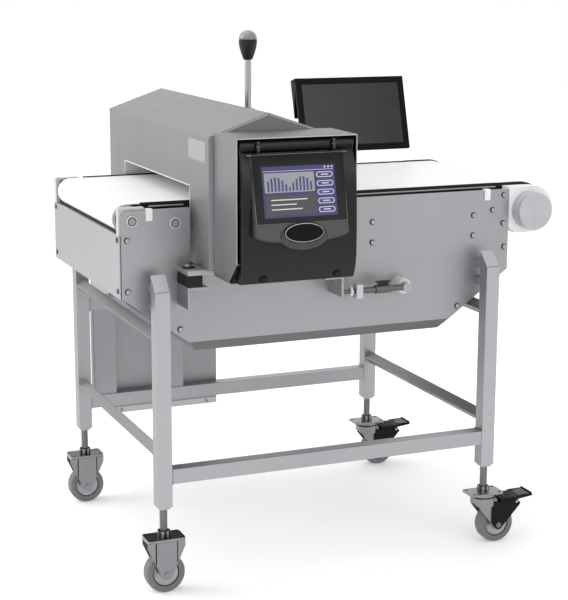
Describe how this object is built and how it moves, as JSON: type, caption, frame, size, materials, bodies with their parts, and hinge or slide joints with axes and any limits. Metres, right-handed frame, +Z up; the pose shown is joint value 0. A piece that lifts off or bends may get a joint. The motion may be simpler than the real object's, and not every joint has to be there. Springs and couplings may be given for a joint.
{
  "type": "conveyor metal detector",
  "caption": "Conveyor metal detector: tunnel head over a white belt, operator display, screen and beacon on a wheeled stainless stand.",
  "frame": {"origin": "on the floor, under the middle of the whole machine's box", "axes": "+X along the belt towards the drum motor, +Y away from the operator, +Z up"},
  "size_m": [1.2232, 1.223, 1.3786],
  "materials": {
    "stainless": "satin brushed stainless steel",
    "dark_pan": "satin, in shade",
    "black_plastic": "matt black moulded plastic",
    "white_plastic": "matt white machined plastic",
    "white_belt": "smooth white belt",
    "grey_wheel": "grey caster tread",
    "black_rubber": "matt black rubber",
    "grey_plastic": "matt grey plastic",
    "coil_resin": "copper winding set in resin",
    "display_screen": "glossy display",
    "smoke_dome": "frosted grey lens"
  },
  "bodies": {
    "stand": {"front_left_leg": "stainless", "front_right_leg": "stainless", "rear_left_leg": "stainless", "rear_right_leg": "stainless", "stand_rails": "stainless", "leg_plugs": "black_plastic", "leg_spacers": "stainless", "cabinet_posts": "stainless", "control_cabinet": "stainless", "cabinet_electronics": "grey_plastic", "cable_glands": "black_plastic", "front_left_fork": "stainless", "rear_left_fork": "stainless", "front_right_stem": "stainless", "rear_right_stem": "stainless", "front_side_plate": "stainless", "rear_side_plate": "stainless", "infeed_cover": "stainless", "belly_pan": "dark_pan", "slider_bed": "black_plastic", "conveyor_belt": "white_belt", "drum_end_blocks": "white_plastic", "drum_motor_cap": "grey_plastic", "nose_blocks": "white_plastic", "guide_clips": "white_plastic", "roller_bearings": "white_plastic", "frame_bolts": "stainless", "detector_head": "stainless", "aperture_liner": "white_plastic", "search_coil": "coil_resin", "mount_brackets": "stainless", "rubber_pads": "black_rubber", "head_feet": "stainless", "beacon_pole": "stainless", "beacon_cup": "black_plastic", "beacon_dome": "smoke_dome", "hmi_enclosure": "stainless", "hmi_bezel": "black_plastic", "hmi_display": "display_screen", "monitor_post": "stainless", "air_pipe": "stainless"},
    "front_left_wheel_body": {"front_left_wheel": "grey_wheel"},
    "rear_left_wheel_body": {"rear_left_wheel": "grey_wheel"},
    "front_right_swivel": {"front_right_fork": "stainless", "front_right_brake_cover": "black_plastic"},
    "rear_right_swivel": {"rear_right_fork": "stainless", "rear_right_brake_cover": "black_plastic"},
    "front_right_wheel_body": {"front_right_wheel": "grey_wheel"},
    "rear_right_wheel_body": {"rear_right_wheel": "grey_wheel"},
    "front_right_brake": {"front_right_pedal": "black_plastic"},
    "rear_right_brake": {"rear_right_pedal": "black_plastic"},
    "drum": {"drum_motor": "stainless"},
    "tail": {"tail_roller": "stainless"},
    "return": {"return_roller": "stainless"},
    "carry": {"carry_roller": "stainless"},
    "snub": {"snub_roller": "stainless"},
    "door": {"cabinet_door": "stainless"},
    "latch": {"cabinet_latch": "black_plastic"},
    "screen": {"monitor": "black_plastic"},
    "handle": {"valve_handle": "black_plastic"}
  },
  "joints": [
    {"name": "front_left_wheel_spin", "type": "hinge", "parent": "stand", "child": "front_left_wheel_body", "pos_m": [-0.52415, -0.35783, 0.0508], "axis": [0, 1, 0], "continuous": true},
    {"name": "rear_left_wheel_spin", "type": "hinge", "parent": "stand", "child": "rear_left_wheel_body", "pos_m": [-0.52415, 0.37797, 0.0508], "axis": [0, 1, 0], "continuous": true},
    {"name": "front_right_swivel_turn", "type": "hinge", "parent": "stand", "child": "front_right_swivel", "pos_m": [0.39105, -0.35783, 0.137], "axis": [0, 0, 1], "continuous": true},
    {"name": "rear_right_swivel_turn", "type": "hinge", "parent": "stand", "child": "rear_right_swivel", "pos_m": [0.39105, 0.37797, 0.137], "axis": [0, 0, 1], "continuous": true},
    {"name": "front_right_wheel_spin", "type": "hinge", "parent": "front_right_swivel", "child": "front_right_wheel_body", "pos_m": [0.42705, -0.35783, 0.0508], "axis": [0, 1, 0], "continuous": true},
    {"name": "rear_right_wheel_spin", "type": "hinge", "parent": "rear_right_swivel", "child": "rear_right_wheel_body", "pos_m": [0.42705, 0.37797, 0.0508], "axis": [0, 1, 0], "continuous": true},
    {"name": "front_right_brake_press", "type": "hinge", "parent": "front_right_swivel", "child": "front_right_brake", "pos_m": [0.48205, -0.35783, 0.112], "axis": [0, 1, 0], "range_deg": [0, 10]},
    {"name": "rear_right_brake_press", "type": "hinge", "parent": "rear_right_swivel", "child": "rear_right_brake", "pos_m": [0.48205, 0.37797, 0.112], "axis": [0, 1, 0], "range_deg": [0, 10]},
    {"name": "drum_turn", "type": "hinge", "parent": "stand", "child": "drum", "pos_m": [0.53585, 0.01007, 0.905], "axis": [0, 1, 0], "continuous": true},
    {"name": "tail_turn", "type": "hinge", "parent": "stand", "child": "tail", "pos_m": [-0.57625, 0.01007, 0.937], "axis": [0, 1, 0], "continuous": true},
    {"name": "return_turn", "type": "hinge", "parent": "stand", "child": "return", "pos_m": [-0.46615, 0.01007, 0.9271], "axis": [0, 1, 0], "continuous": true},
    {"name": "carry_turn", "type": "hinge", "parent": "stand", "child": "carry", "pos_m": [0.07105, 0.01007, 0.8715], "axis": [0, 1, 0], "continuous": true},
    {"name": "snub_turn", "type": "hinge", "parent": "stand", "child": "snub", "pos_m": [0.36865, 0.01007, 0.8715], "axis": [0, 1, 0], "continuous": true},
    {"name": "door_swing", "type": "hinge", "parent": "stand", "child": "door", "pos_m": [-0.09985, 0.57947, 0.44], "axis": [0, 0, -1], "range_deg": [0, 115]},
    {"name": "latch_turn", "type": "hinge", "parent": "door", "child": "latch", "pos_m": [-0.40515, 0.59317, 0.44], "axis": [0, 1, 0], "range_deg": [0, 90]},
    {"name": "screen_tilt", "type": "hinge", "parent": "stand", "child": "screen", "pos_m": [0.29185, 0.34254, 1.119], "axis": [1, 0, 0], "range_deg": [-14, 14]},
    {"name": "valve_turn", "type": "hinge", "parent": "stand", "child": "handle", "pos_m": [0.07885, -0.34983, 0.741], "axis": [0, 0, 1], "range_deg": [0, 90]}
  ],
  "couplings": [
    {"joint": "tail_turn", "follows": "drum_turn", "ratio": 1.9697},
    {"joint": "return_turn", "follows": "drum_turn", "ratio": 2.2414},
    {"joint": "carry_turn", "follows": "drum_turn", "ratio": -2.68},
    {"joint": "snub_turn", "follows": "drum_turn", "ratio": -2.68}
  ]
}
